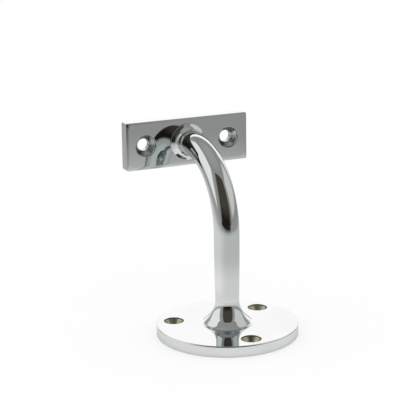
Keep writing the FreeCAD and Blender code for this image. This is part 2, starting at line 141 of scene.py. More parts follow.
class Graph:
    """The node tree of a material or of the world."""

    def __init__(self, owner: Union[bpy.types.Material, bpy.types.World]) -> None:
        """Starts an empty tree.

        Args:
            owner: The material or the world that it belongs to.
        """
        owner.use_nodes = True
        self.tree = owner.node_tree
        self.tree.nodes.clear()

    def node(self, kind: str, settings: dict | None = None,
             inputs: dict | Sequence | None = None) -> bpy.types.Node:
        """Adds a node.

        Args:
            kind: The node's type, such as "ShaderNodeMath".
            settings: Its own properties, which are set first, and a colour ramp's "stops".
            inputs: What its sockets get, by name or in order: numbers, colours or links.

        Returns:
            The new node.
        """
        node = self.tree.nodes.new(kind)
        for name, setting in (settings or {}).items():
            if name == "stops":
                self._set_stops(node.color_ramp, setting)
            else:
                setattr(node, name, setting)
        pairs = inputs.items() if isinstance(inputs, dict) else enumerate(inputs or ())
        for key, given in pairs:
            socket = node.inputs[key]
            source = given.socket if isinstance(given, Value) else given
            if isinstance(source, Socket):
                self.tree.links.new(source, socket)
            else:
                socket.default_value = source
        return node

    def number(self, kind: str, settings: dict | None = None,
               inputs: dict | Sequence | None = None, output: int | str = 0) -> Value:
        """Adds a node in the same way, and takes one of its outputs as a number."""
        return Value(self, self.node(kind, settings, inputs).outputs[output])

    @staticmethod
    def _set_stops(ramp: bpy.types.ColorRamp, stops: Sequence[tuple[float, Colour]]) -> None:
        """Gives a colour ramp its stops.

        Args:
            ramp: The ramp.
            stops: Each stop's place, from 0 to 1, and its colour.
        """
        while len(ramp.elements) < len(stops):
            ramp.elements.new(1.0)
        for element, (position, colour) in zip(ramp.elements, stops):
            element.position = position
            element.color = colour

    def place(self, kind: str = "Object") -> Socket:
        """A texture coordinate of this kind."""
        return self.node("ShaderNodeTexCoord").outputs[kind]

    def parts(self, vector: Socket) -> tuple[Value, Value, Value]:
        """The three components of a vector."""
        x, y, z = self.node("ShaderNodeSeparateXYZ", None, [vector]).outputs
        return Value(self, x), Value(self, y), Value(self, z)

    def blend(self, factor: Operand, first: Colour | Socket, second: Colour,
              mode: str = "MIX") -> Socket:
        """Blends the second colour into the first, by the factor and in this mode."""
        settings = {"data_type": "RGBA", "blend_type": mode}
        return self.node("ShaderNodeMix", settings, {0: factor, 6: first, 7: second}).outputs[2]

    def attribute(self, name: str) -> Value:
        """A number kept at each point of the mesh."""
        return self.number("ShaderNodeAttribute", {"attribute_name": name}, output="Fac")

    def ray(self, fact: str) -> Value:
        """What the light path says of a ray, such as "Is Camera Ray"."""
        return self.number("ShaderNodeLightPath", output=fact)

    def noise(self, place: Socket, scale: float, detail: float = 2.0) -> Value:
        """Soft noise about 0.5, this many cells to the metre."""
        inputs = {"Vector": place, "Scale": scale, "Detail": detail}
        return self.number("ShaderNodeTexNoise", None, inputs, "Fac")

    def glow(self, colour: Colour | Socket, kind: str = "ShaderNodeEmission") -> Socket:
        """Light of this colour, at strength 1."""
        return self.node(kind, None, {"Color": colour, "Strength": 1.0}).outputs[0]

    def mix(self, share: Value, first: Socket, second: Socket) -> Socket:
        """Two shaders, with this share of the second."""
        return self.node("ShaderNodeMixShader", None, [share, first, second]).outputs[0]

    def close(self, shader: Socket, kind: str = "ShaderNodeOutputMaterial") -> None:
        """Joins the last shader to the output."""
        self.node(kind, None, {"Surface": shader})


# ---- finishes

# specks of dust, and the tool's chatter between its rings, to the metre
DUST_SCALE = 900.0
CHATTER_SCALE = 1500.0
# the mop's two lays: their turn in radians, and the cells to the metre along X, Y and Z
SCRATCH_LAYS = (
    (0.4, (2600.0, 90.0, 2600.0)),
    (-0.9, (90.0, 2400.0, 90.0)),
)


@dataclass(frozen=True)
class Metal:
    """A bare or plated metal surface, worked and worn as the numbers say.

    Args:
        name: The material's name.
        tint: Its colour, head on.
        smear_tint: Its colour where it is smeared or dull.
        gloss: Roughness where it is clean, and how much smears add to it.
        scratches: Depth of the fine polishing scratches, in millimetres.
        grooves: Depth of the tool's rings, in millimetres, or 0 for none.
        smear_scale: How many smears there are to the metre.
        groove_pitch: Distance between the tool's rings, in millimetres.
    """

    name: str
    tint: Tint
    smear_tint: Tint
    gloss: Pair
    scratches: float
    grooves: float = 0.0
    smear_scale: float = 60.0
    groove_pitch: float = 0.55

    def material(self) -> bpy.types.Material:
        """Builds the material: colour, roughness and bump vary over the surface.

        Returns:
            The material.
        """
        material = bpy.data.materials.new(self.name)
        graph = Graph(material)
        place = graph.place()
        smears = graph.noise(place, self.smear_scale, detail=3.0).rise(0.45, 0.75)
        dust = graph.noise(place, DUST_SCALE).rise(0.55, 0.8)
        wear = graph.attribute("edge_wear")
        dullness = smears * 0.5 + dust * 0.15 + wear * 0.2
        colour = graph.blend(dullness, (*self.tint, 1), (*self.smear_tint, 1))
        clean, smeared = self.gloss
        roughness = clean + smears * smeared + dust * (smeared / 3) + wear * smeared
        relief = self._scratches(graph) * self.scratches
        if self.grooves:
            relief = relief + self._grooves(graph) * self.grooves
        height = {"Height": relief, "Strength": 1.0, "Distance": MM}
        surface = {
            "Base Color": colour,
            "Metallic": 1.0,
            "Roughness": roughness,
            "Normal": graph.node("ShaderNodeBump", None, height).outputs[0],
        }
        graph.close(graph.node("ShaderNodeBsdfPrincipled", None, surface).outputs[0])
        return material

    def _scratches(self, graph: Graph) -> Value:
        """Hair-fine scratches left by the polishing mop.

        Args:
            graph: The material's graph.

        Returns:
            Their height, between 0 and 2.
        """
        heights = []
        for turn, stretch in SCRATCH_LAYS:
            mapping = {"Vector": graph.place(), "Rotation": (0.3, 0.0, turn), "Scale": stretch}
            lay = graph.node("ShaderNodeMapping", None, mapping).outputs[0]
            heights.append(graph.noise(lay, scale=1.0, detail=1.0))
        return heights[0] + heights[1]

    def _grooves(self, graph: Graph) -> Value:
        """Rings left by the countersink cutter, which follow the depth of the cut.

        Args:
            graph: The material's graph.

        Returns:
            Their height, about 0.
        """
        turns = graph.attribute("cut_depth") * (2 * math.pi / self.groove_pitch)
        ring = graph.number("ShaderNodeMath", {"operation": "SINE"}, [turns])
        chatter = graph.noise(graph.place(), CHATTER_SCALE, detail=1.0)
        return ring * 0.5 + chatter * 0.4


CHROME = Metal(
    name="polished_chrome",
    tint=(0.945, 0.95, 0.945),
    smear_tint=(0.86, 0.87, 0.86),
    gloss=(0.025, 0.05),
    scratches=0.0004,
)
BRIGHT_CUT = Metal(
    name="bright_countersink",
    tint=(0.74, 0.75, 0.73),
    smear_tint=(0.44, 0.44, 0.41),
    gloss=(0.10, 0.12),
    scratches=0.001,
    grooves=0.02,
    smear_scale=350.0,
)
THIN_PLATING = replace(
    BRIGHT_CUT,
    name="thinly_plated_countersink",
    tint=(0.56, 0.505, 0.38),
    smear_tint=(0.34, 0.28, 0.18),
)
SCREW_STEEL = Metal(
    name="screw_steel",
    tint=(0.56, 0.57, 0.58),
    smear_tint=(0.42, 0.42, 0.43),
    gloss=(0.24, 0.12),
    scratches=0.002,
)


class Zone(Enum):
    """Which finish a face of a skin takes: its place among the skin's materials."""

    POLISHED = 0
    CUT = 1


# ---- turned and swept skins

@dataclass(frozen=True)
class Station:
    """One step of a profile.

    Args:
        out: Distance from the axis, or how far inside an outline.
        along: Height along the axis.
        normal: The surface's direction there, as (outward, along).
        wear: How much polishing has worn this step, from 0 to 1.
    """

    out: float
    along: float
    normal: Pair
    wear: float = 0.0


Run = list[Station]


def straight(start: Pair, end: Pair, steps: int) -> Run:
    """A straight stretch of profile.

    Args:
        start: Its first (out, along).
        end: Its last (out, along). The surface faces to the right of the way from start to end.
        steps: How many rows of faces it gets.

    Returns:
        The stations, from start to end.
    """
    across, up = end[0] - start[0], end[1] - start[1]
    length = math.dist(start, end)
    normal = (up / length, -across / length)
    shares = [step / steps for step in range(steps + 1)]
    return [Station(start[0] + across * t, start[1] + up * t, normal) for t in shares]


def curved(centre: Pair, radius: float, start: float, end: float, steps: int, wear: float = 0.0) -> Run:
    """An arc of profile.

    Args:
        centre: Its middle, as (out, along).
        radius: Its radius; below zero, the surface faces the centre.
        start: Angle of its first station from the outward direction, in radians.
        end: Angle of its last station.
        steps: How many rows of faces it gets.
        wear: Wear at its middle.

    Returns:
        The stations, from start to end.
    """
    side = math.copysign(1.0, radius)
    run = []
    for step in range(steps + 1):
        share = step / steps
        angle = start + (end - start) * share
        across, up = math.cos(angle), math.sin(angle)
        place = (centre[0] + abs(radius) * across, centre[1] + abs(radius) * up)
        worn = wear * math.sin(math.pi * share)
        run.append(Station(*place, (side * across, side * up), worn))
    return run


def inwards(run: Run, edge: float) -> Run:
    """The same run, measured inwards from this edge."""
    return [replace(step, out=edge - step.out) for step in run]


def facing_back(run: Run) -> Run:
    """The same run, as the wall of a hole: it faces the other way."""
    return [replace(step, normal=(-step.normal[0], -step.normal[1])) for step in run]


Corner = tuple[int, Vector]
Ring = list[int]
# a place, with the directions outwards and along the profile's height
Frame = tuple[Vector, Vector, Vector]
Around = Callable[[Station], list[Frame]]
# points closer than this, in millimetres, are one
SAME_PLACE = 1e-5
SEGMENTS = 192
ANGLES = [2 * math.pi * segment / SEGMENTS for segment in range(SEGMENTS)]


@dataclass
class Skin:
    """A closed mesh that keeps, at every corner of a face, the normal of the real surface.

    Args:
        node: The solid that it stands for.
        points: Its points, in millimetres.
        faces: The points of each face.
        normals: The surface's direction at each corner of each face.
        zones: The finish of each face.
        wear: How much polishing has worn each point.
        depth: How far each point lies along its profile.
        known: The points by their places.
    """

    node: str
    points: list[Vector] = field(default_factory=list)
    faces: list[tuple[int, ...]] = field(default_factory=list)
    normals: list[Vector] = field(default_factory=list)
    zones: list[Zone] = field(default_factory=list)
    wear: list[float] = field(default_factory=list)
    depth: list[float] = field(default_factory=list)
    known: dict[tuple[int, ...], int] = field(default_factory=dict)

    def point(self, place: Vector, wear: float, depth: float) -> int:
        """Finds the point at a place, or adds it.

        Args:
            place: The place, in millimetres.
            wear: How much polishing has worn it, from 0 to 1.
            depth: How far it lies along its profile.

        Returns:
            The point's index.
        """
        key = tuple(round(number / SAME_PLACE) for number in place)
        index = self.known.setdefault(key, len(self.points))
        if index == len(self.points):
            self.points.append(place)
            self.wear.append(0.0)
            self.depth.append(0.0)
        self.wear[index] = max(self.wear[index], wear)
        self.depth[index] = depth
        return index

    def face(self, corners: Sequence[Corner], zone: Zone) -> None:
        """Adds a face, turned to face its normals.

        Args:
            corners: Its points, each with the surface's direction there.
            zone: Its finish.
        """
        unique: list[Corner] = []
        for corner in corners:
            if corner[0] not in [other[0] for other in unique]:
                unique.append(corner)
        if len(unique) < 3:
            return
        a, b, c = (self.points[index] for index, _ in unique[:3])
        if (b - a).cross(c - a).dot(unique[0][1] + unique[1][1]) < 0:
            unique.reverse()
        self.faces.append(tuple(index for index, _ in unique))
        self.normals.extend(normal for _, normal in unique)
        self.zones.append(zone)

    def carry(self, run: Run, around: Around, zone: Zone = Zone.POLISHED) -> tuple[Ring, Ring]:
        """Carries a run of profile once round.

        Args:
            run: The stations, joined smoothly.
            around: Gives a station's places, once round.
            zone: The finish of the faces.

        Returns:
            The first and the last ring of points.
        """
        rings = []
        for station in run:
            ring = []
            for place, outward, along in around(station):
                normal = outward * station.normal[0] + along * station.normal[1]
                ring.append((self.point(place, station.wear, abs(station.along)), normal))
            rings.append(ring)
        for lower, upper in zip(rings, rings[1:]):
            for k in range(len(lower)):
                after = (k + 1) % len(lower)
                self.face((lower[k], lower[after], upper[after], upper[k]), zone)
        first, last = ([index for index, _ in ring] for ring in (rings[0], rings[-1]))
        return first, last

    def flat(self, loops: Sequence[Ring], normal: Vector, crown: float = 0.0) -> None:
        """Fills a flat face.

        Args:
            loops: Its outer loop, then the loops of its holes.
            normal: The way that it faces.
            crown: How much its mirror leans outwards for each millimetre from the middle.
        """
        ring = [[self.points[index] for index in loop] for loop in loops]
        middle = sum(ring[0], Vector()) / len(ring[0])
        order = [index for loop in loops for index in loop]
        for triangle in tessellate_polygon(ring):
            corners = [order[corner] for corner in triangle]
            leaning = [normal + (self.points[index] - middle) * crown for index in corners]
            self.face(list(zip(corners, leaning)), Zone.POLISHED)

    def piece(self, finishes: Finishes) -> bpy.types.Object:
        """Makes the piece, which stands for the solid.

        Args:
            finishes: The metal of each zone.

        Returns:
            The piece.
        """
        name = f"{self.node}_skin"
        mesh = bpy.data.meshes.new(name)
        mesh.from_pydata([point * MM for point in self.points], [], self.faces)
        for finish in finishes:
            mesh.materials.append(finish)
        for polygon, zone in zip(mesh.polygons, self.zones):
            polygon.material_index = zone.value
            polygon.use_smooth = True
        for label, store in (("edge_wear", self.wear), ("cut_depth", self.depth)):
            attribute = mesh.attributes.new(label, "FLOAT", "POINT")
            attribute.data.foreach_set("value", store)
        mesh.normals_split_custom_set([normal.normalized() for normal in self.normals])
        mesh.update()
        piece = bpy.data.objects.new(name, mesh)
        bpy.context.scene.collection.objects.link(piece)
        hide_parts(self.node)
        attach(piece, "root")
        return piece


def upright(base: Matrix) -> Around:
    """Turns profiles about a straight axis.

    Args:
        base: The axis' place: it runs along this matrix' own Z.

    Returns:
        What gives the places round that axis.
    """
    turn = base.to_3x3()
    along = turn @ Vector((0, 0, 1))
    outwards = [turn @ Vector((math.cos(angle), math.sin(angle), 0)) for angle in ANGLES]

    def around(step: Station) -> list[Frame]:
        """The places of a station round the axis."""
        middle = base.translation + along * step.along
        return [(middle + outward * step.out, outward, along) for outward in outwards]

    return around


# ---- screw holes

@dataclass(frozen=True)
class Countersink:
    """A countersunk hole cut into the face of a plate.

    Args:
        mouth: Its width at the face.
        bore: Its width below the cone.
        sink: Height of the straight wall above the cone.
        mouth_round: Radius polished onto its mouth, or 0 for a sharp one.
    """

    mouth: float
    bore: float
    sink: float
    mouth_round: float = 0.0

    def cut(self, skin: Skin, face: Matrix, thickness: float, near: list[Ring], far: list[Ring]) -> None:
        """Cuts the hole.

        Args:
            skin: The plate's skin.
            face: The hole's place: its Z leads out of the face that it is cut into.
            thickness: The plate's thickness.
            near: The loops of that face, which gain the mouth.
            far: The loops of the other face, which gain the far end.
        """
        axis = upright(face)
        mouth, bore = self.mouth / 2, self.bore / 2
        edge = self.mouth_round
        cone_end = -self.sink - (mouth - bore)
        rim = [Station(mouth, 0.0, (-1.0, 0.0))]
        if edge:
            rim = curved((mouth + edge, -edge), edge, QUARTER, math.pi, steps=6, wear=1.0)
        near.append(skin.carry(rim, axis)[0])
        skin.carry(straight((mouth, -edge), (mouth, -self.sink), steps=2), axis, Zone.CUT)
        skin.carry(straight((mouth, -self.sink), (bore, cone_end), steps=8), axis, Zone.CUT)
        wall = straight((bore, cone_end), (bore, -thickness), steps=3)
        far.append(skin.carry(wall, axis, Zone.CUT)[1])


# the hole of a machine screw, which both plates have in their backs
SCREW_SEAT = Countersink(mouth=11.5, bore=6.1, sink=0.7)


# ---- sub-assemblies

def box_size(node: str) -> tuple[Vector, Vector]:
    """A solid's lowest and highest corners, in millimetres."""
    low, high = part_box(node)
    return low / MM, high / MM


@dataclass
class WallPlate:
    """Round plate that is screwed to the wall.

    Args:
        diameter: Its width.
        thickness: Front to back.
        rim_round: Radius polished onto the front rim.
        back_round: Radius of the back rim.
        crown: How much the polished face leans outwards for each millimetre from its middle.
        hole_edge: Centre of a screw hole to the rim.
        hole_count: Screw holes.
        hole: The screw hole.
        seat: The hole of the machine screw, cut from the back.
    """

    diameter: float
    thickness: float
    rim_round: float = 0.55
    back_round: float = 0.3
    crown: float = 0.0014
    hole_edge: float = 7.5
    hole_count: int = 3
    hole: Countersink = Countersink(mouth=8.9, bore=5.5, sink=0.6, mouth_round=0.2)
    seat: Countersink = SCREW_SEAT

    @classmethod
    def from_frame(cls) -> "WallPlate":
        """Takes the overall sizes from the solid."""
        low, high = box_size("wall_plate")
        return cls(diameter=high.x - low.x, thickness=high.z - low.z)

    def build(self, finishes: Finishes) -> bpy.types.Object:
        """Builds the plate with its holes.

        Args:
            finishes: The metal of each zone.

        Returns:
            The piece.
        """
        skin = Skin("wall_plate")
        axis = upright(Matrix.Identity(4))
        radius, front = self.diameter / 2, self.thickness
        back, rim = self.back_round, self.rim_round
        lower = curved((radius - back, back), back, -QUARTER, 0.0, steps=4, wear=0.6)
        side = straight((radius, back), (radius, front - rim), steps=4)
        upper = curved((radius - rim, front - rim), rim, 0.0, QUARTER, steps=8, wear=1.0)
        back_edge, front_edge = skin.carry(lower + side[1:-1] + upper, axis)
        front_loops, back_loops = [front_edge], [back_edge]
        for count in range(self.hole_count):
            turn = -QUARTER + 2 * math.pi * count / self.hole_count
            reach = radius - self.hole_edge
            centre = Vector((reach * math.cos(turn), reach * math.sin(turn), front))
            self.hole.cut(skin, Matrix.Translation(centre), front, front_loops, back_loops)
        self.seat.cut(skin, Matrix.Rotation(math.pi, 4, "X"), front, back_loops, front_loops)
        skin.flat(front_loops, Vector((0, 0, 1)), self.crown)
        skin.flat(back_loops, Vector((0, 0, -1)))
        return skin.piece(finishes)


TOWARDS_FRONT = Vector((0, -1, 0))


@dataclass
class SaddlePlate:
    """Flat bar that the rail rests on.

    Args:
        low: The solid's lowest corner.
        high: Its highest corner; its front faces -Y and its back, for the rail, +Y.
        corner_round: Radius of the outline's corners.
        front_round: Radius of the front face's edge.
        roll_radius: Radius that the mop has given the front face, just inside its edge.
        roll_angle: How far that turns down towards the edge, in degrees.
        roll_spread: How much rounder its corners get, for each millimetre inwards.
        back_round: Radius polished round the rail face.
        hole_edge: Centre of a screw hole to the plate's end.
        hole: The screw hole.
        seat: The hole of the machine screw, cut from the rail face.
        corner_steps: Faces round each corner of the outline.
    """

    low: Vector
    high: Vector
    corner_round: float = 0.9
    front_round: float = 0.3
    roll_radius: float = 7.0
    roll_angle: float = 11.0
    roll_spread: float = 1.4
    back_round: float = 0.85
    hole_edge: float = 9.5
    hole: Countersink = Countersink(mouth=9.8, bore=5.6, sink=1.3, mouth_round=0.2)
    seat: Countersink = SCREW_SEAT
    corner_steps: int = 10

    @classmethod
    def from_frame(cls) -> "SaddlePlate":
        """Takes the overall sizes from the solid."""
        return cls(*box_size("saddle_plate"))

    def outline(self, step: Station) -> list[Frame]:
        """A station's places round the plate, with evenly drawn corners."""
        return self.loop(step, self.corner_round - step.out)

    def rolled_outline(self, step: Station) -> list[Frame]:
        """The same, with corners that get rounder beyond the small round of the front edge."""
        within, beyond = min(step.out, self.front_round), max(step.out - self.front_round, 0.0)
        return self.loop(step, self.corner_round - within + beyond * self.roll_spread)

    def loop(self, step: Station, radius: float) -> list[Frame]:
        """Draws a rectangle inside the plate's outline.

        Args:
            step: The station: out is how far inside it lies, along how far from the back.
            radius: The radius of its corners.

        Returns:
            Its places.
        """
        middle = (self.low + self.high) / 2
        half_x = (self.high.x - self.low.x) / 2 - step.out - radius
        half_z = (self.high.z - self.low.z) / 2 - step.out - radius
        loop = []
        for quarter in range(4):
            across = half_x * (1 if quarter in (0, 3) else -1)
            up = half_z * (1 if quarter in (0, 1) else -1)
            corner = Vector((middle.x + across, self.high.y, middle.z + up))
            for part in range(self.corner_steps + 1):
                angle = QUARTER * (quarter + part / self.corner_steps)
                outward = Vector((math.cos(angle), 0, math.sin(angle)))
                place = corner + outward * radius + TOWARDS_FRONT * step.along
                loop.append((place, outward, TOWARDS_FRONT))
        return loop

    def front_edge(self, thickness: float) -> Run:
        """Draws the edge of the front face: a small round, then the mop's wide soft one.

        Args:
            thickness: The plate's thickness.

        Returns:
            The stations, measured inwards from the plate's outline.
        """
        turn = QUARTER - math.radians(self.roll_angle)
        small, wide = self.front_round, self.roll_radius
        level = thickness - wide + (wide - small) * math.sin(turn)
        edge = curved((0.0, level), small, 0.0, turn, steps=6, wear=1.0)
        roll_centre = (-(wide - small) * math.cos(turn), level - (wide - small) * math.sin(turn))
        roll = curved(roll_centre, wide, turn, QUARTER, steps=10, wear=0.3)
        return inwards(edge + roll[1:], small)

    def build(self, finishes: Finishes) -> bpy.types.Object:
        """Builds the plate with its holes.

        Args:
            finishes: The metal of each zone.

        Returns:
            The piece.
        """
        skin = Skin("saddle_plate")
        thickness = self.high.y - self.low.y
        back = self.back_round
        lower = inwards(curved((0, back), back, -QUARTER, 0.0, steps=8, wear=1.0), back)
        edge = lower[-1:] + self.front_edge(thickness)
        back_loops = [skin.carry(lower, self.outline)[0]]
        front_loops = [skin.carry(edge, self.rolled_outline)[1]]
        middle = (self.low + self.high) / 2
        facing_front = Matrix.Rotation(QUARTER, 4, "X")
        for side_of_middle in (-1, 1):
            across = middle.x + side_of_middle * ((self.high.x - self.low.x) / 2 - self.hole_edge)
            place = Matrix.Translation((across, self.low.y, middle.z)) @ facing_front
            self.hole.cut(skin, place, thickness, front_loops, back_loops)
        facing_rail = Matrix.Rotation(-QUARTER, 4, "X")
        place = Matrix.Translation((middle.x, self.high.y, middle.z)) @ facing_rail
        self.seat.cut(skin, place, thickness, back_loops, front_loops)
        skin.flat(front_loops, TOWARDS_FRONT)
        skin.flat(back_loops, -TOWARDS_FRONT)
        return skin.piece(finishes)


@dataclass
class FlaredEnd:
    """One end of the arm, from its plate to the bend.

    Args:
        diameter: Width of the flare on the plate.
        lip: Height of its straight lip.
        slope: Slope of the flare from the arm's axis.
        sweep: Radius that sweeps the flare into the arm.
        taper: Radius that the arm gains from here to the bend.
        run: Length from the plate to the bend.
        lip_round: Radius polished onto the lip.
        lip_lean: How far the mop has turned the lip's mirror up, in degrees, or 0.
    """

    diameter: float
    lip: float
    slope: float
    sweep: float
    taper: float
    run: float
    lip_round: float = 0.3
    lip_lean: float = 0.0

    def profile(self, arm_radius: float) -> Run:
        """Draws the side of this end: lip, cone, hollow sweep, and the arm's long flat curve.

        Args:
            arm_radius: The arm's radius through the bend.

        Returns:
            The stations, from the plate to the bend.
        """
        slope = math.radians(self.slope)
        side_radius = (self.run**2 + self.taper**2) / (2 * self.taper)
        side_centre = Vector((arm_radius - side_radius, self.run))
        along = Vector((-math.sin(slope), math.cos(slope)))
        outward = Vector((math.cos(slope), math.sin(slope)))
        lip = Vector((self.diameter / 2, self.lip))

        # the sweep's centre lies where it touches both the cone and the arm's flat curve
        away = lip + outward * self.sweep - side_centre
        drift = away.dot(along)
        reach = -drift - math.sqrt(drift**2 - away.dot(away) + (side_radius + self.sweep) ** 2)
        centre = lip + outward * self.sweep + along * reach
        cone_end = centre - outward * self.sweep
        sweep_end_angle = math.atan2(centre.y - side_centre.y, centre.x - side_centre.x)

        # the lip's round touches its straight wall and the cone
        round_centre = lip - Vector((1, math.tan(slope / 2))) * self.lip_round
        lip_round = curved(tuple(round_centre), self.lip_round, 0.0, slope, steps=5, wear=1.0)
        foot_of_lip = [Station(lip.x, 0.0, (1.0, 0.0))]
        cone_start = round_centre + outward * self.lip_round
        cone = straight(tuple(cone_start), tuple(cone_end), steps=6)
        turns = (math.pi + slope, math.pi + sweep_end_angle)
        sweep = curved(tuple(centre), -self.sweep, *turns, steps=24)
        side = curved(tuple(side_centre), side_radius, sweep_end_angle, 0.0, steps=24)

        # the first steps of the cone share the lip's lean
        leaned = 3
        edge = foot_of_lip + lip_round + cone[1:leaned]
        if self.lip_lean:
            lean, last = math.radians(self.lip_lean), len(edge) - 1
            angles = [lean + (slope - lean) * count / last for count in range(len(edge))]
            normals = [(math.cos(angle), math.sin(angle)) for angle in angles]
            edge = [replace(step, normal=normal) for step, normal in zip(edge, normals)]
        return edge + cone[leaned:-1] + sweep + side[1:]


@dataclass
class Arm:
    """Round bar, turned with a flare at each end and bent through a right angle.

    Args:
        low: Where its foot stands on the wall plate, along Z.
        reach: Axis of the stem to the front of the saddle plate.
        height: Height of the axis of its head.
        radius: Its radius through the bend.
        head_run: Length of its head, from the saddle plate to the bend.
        bore: Width of the threaded hole in each end.
        thread_depth: Depth of the one in the foot.
        boss_thread_depth: Depth of the one in the boss.
        drill_point: Angle of the drill's point, in degrees.
        bend_steps: Rows of faces in the bend.
    """

    low: float
    reach: float
    height: float
    radius: float = 5.6
    head_run: float = 8.0
    bore: float = 6.1
    thread_depth: float = 10.3
    boss_thread_depth: float = 9.3
    drill_point: float = 118.0
    bend_steps: int = 96

    @classmethod
    def from_frame(cls) -> "Arm":
        """Takes its seats from the solids of the plates."""
        (_, wall_front), (low, high) = box_size("wall_plate"), box_size("saddle_plate")
        return cls(low=wall_front.z, reach=low.y, height=(low.z + high.z) / 2)

    def __post_init__(self) -> None:
        """Works out the bend, then the foot on the wall plate and the boss on the saddle plate."""
        self.bend_radius = self.reach - self.head_run
        self.bend_start = self.height - self.bend_radius
        self.stem_run = self.bend_start - self.low
        self.bend_length = QUARTER * self.bend_radius
        self.length = self.stem_run + self.bend_length + self.head_run
        self.foot = FlaredEnd(
            diameter=22.1, lip=0.6, slope=48.0, sweep=10.8, taper=0.6, run=self.stem_run, lip_lean=70.0
        )
        self.boss = FlaredEnd(
            diameter=16.9, lip=0.5, slope=58.0, sweep=4.0, taper=0.15, run=self.head_run
        )

    def around(self, step: Station) -> list[Frame]:
        """Turns a station about the arm's axis: up the stem, round the bend, out along the head.

        Args:
            step: The station: along is its distance from the foot.

        Returns:
            Its places.
        """
        turned = min(max((step.along - self.stem_run) / self.bend_radius, 0.0), QUARTER)
        onward = Vector((0, math.sin(turned), math.cos(turned)))
        inward = Vector((0, math.cos(turned), -math.sin(turned)))
        middle = Vector((0, self.bend_radius, self.bend_start)) - inward * self.bend_radius
        beyond = step.along - self.stem_run - turned * self.bend_radius
        middle = middle + onward * beyond
        outwards = [Vector((math.cos(angle), 0, 0)) + inward * math.sin(angle) for angle in ANGLES]
        return [(middle + outward * step.out, outward, onward) for outward in outwards]

    def bend(self) -> Run:
        """The side of the bend."""
        steps = [self.bend_length * step / self.bend_steps for step in range(self.bend_steps + 1)]
        return [Station(self.radius, self.stem_run + step, (1.0, 0.0)) for step in steps]

    def turned_round(self, run: Run) -> Run:
        """A profile drawn from the saddle plate, as seen from the foot."""
        return [
            replace(step, along=self.length - step.along, normal=(step.normal[0], -step.normal[1]))
            for step in reversed(run)
        ]

    def threaded_end(self, diameter: float, depth: float) -> list[Run]:
        """Draws the seat of an end on its plate, and the blind hole for the machine screw.

        Args:
            diameter: Width of the seat.
            depth: Depth of the thread.

        Returns:
            The seat, the wall of the hole and the cone that the drill's point leaves.
        """
        bore = self.bore / 2
        point = bore / math.tan(math.radians(self.drill_point / 2))
        seat = straight((diameter / 2, 0.0), (bore, 0.0), steps=2)
        wall = straight((bore, 0.0), (bore, depth), steps=4)
        cone = straight((bore, depth), (0.0, depth + point), steps=2)
        return [facing_back(run) for run in (seat, wall, cone)]

    def build(self, finishes: Finishes) -> bpy.types.Object:
        """Builds the bar with the threaded hole in each end.

        Args:
            finishes: The metal of each zone.

        Returns:
            The piece.
        """
        skin = Skin("arm")
        foot = self.foot.profile(self.radius)
        head = self.turned_round(self.boss.profile(self.radius))
        skin.carry(foot + self.bend()[1:-1] + head, self.around)
        zones = (Zone.POLISHED, Zone.CUT, Zone.CUT)
        for run, zone in zip(self.threaded_end(self.foot.diameter, self.thread_depth), zones):
            skin.carry(run, self.around, zone)
        for run, zone in zip(self.threaded_end(self.boss.diameter, self.boss_thread_depth), zones):
            skin.carry(self.turned_round(run), self.around, zone)
        return skin.piece(finishes)


# ---- studio

@dataclass(frozen=True)
class Camera:
    """The view of the bracket from the front left, a little above it.

    Args:
        aim: The point that it looks at, in millimetres.
        azimuth: How far it stands round to the left of the front, in degrees.
        elevation: How far it stands above the level, in degrees.
        roll: Its tilt about its own axis, in degrees.
        distance: Its distance from the point that it looks at, in millimetres.
        lens: Focal length, in millimetres on a sensor 36 mm wide.
    """

    aim: tuple[float, float, float] = (-1.4, 16.5, 53.7)
    azimuth: float = 24.24
    elevation: float = 15.06
    roll: float = -0.68
    distance: float = 641.4
    lens: float = 124.4

    def place(self) -> None:
        """Makes the camera and gives it to the scene."""
        turn = Matrix.Rotation(-math.radians(self.azimuth), 4, "Z")
        tip = Matrix.Rotation(QUARTER - math.radians(self.elevation), 4, "X")
        roll = Matrix.Rotation(math.radians(self.roll), 4, "Z")
        back_off = Matrix.Translation((0, 0, self.distance * MM))
        camera = bpy.data.objects.new("camera", bpy.data.cameras.new("camera"))
        camera.data.lens = self.lens
        camera.data.clip_start = 0.01
        aim = Matrix.Translation(Vector(self.aim) * MM)
        camera.matrix_world = aim @ turn @ tip @ roll @ back_off
        bpy.context.scene.collection.objects.link(camera)
        bpy.context.scene.camera = camera


@dataclass(frozen=True)
class Panel:
    """A part of the tent's walls, as seen from the bracket.

    Args:
        azimuth: Its middle, in degrees to the right of the front.
        half_width: From its middle to its sides, in degrees.
        elevation: Its lower and upper edges, in degrees above the level.
        softness: How wide its edges fade, sideways and upwards, in degrees.
        brightness: How bright it looks, where white is 1.
    """

    azimuth: float
    half_width: float
    elevation: Pair
    softness: Pair
    brightness: float

    def paint(self, graph: Graph, under: Operand) -> Value:
        """Paints this panel over the tent's wall.

        Args:
            graph: The world's graph.
            under: The brightness that is there.

        Returns:
            The brightness with the panel.
        """
        x, y, z = graph.parts(graph.place("Generated"))
        turn = math.radians(self.azimuth)
        across = x * math.cos(turn) + y * math.sin(turn)
        ahead = x * math.sin(turn) - y * math.cos(turn)
        aside = abs(across.angle_from(ahead)) * TO_DEGREES
        height = z.angle_from((x * x + y * y) ** 0.5) * TO_DEGREES
        fade_aside, fade_up = self.softness
        cover = 1 - aside.rise(self.half_width - fade_aside / 2, self.half_width + fade_aside / 2)
        cover = cover * height.hump(*self.elevation, fade_up)
        return cover * self.brightness + (1 - cover) * under


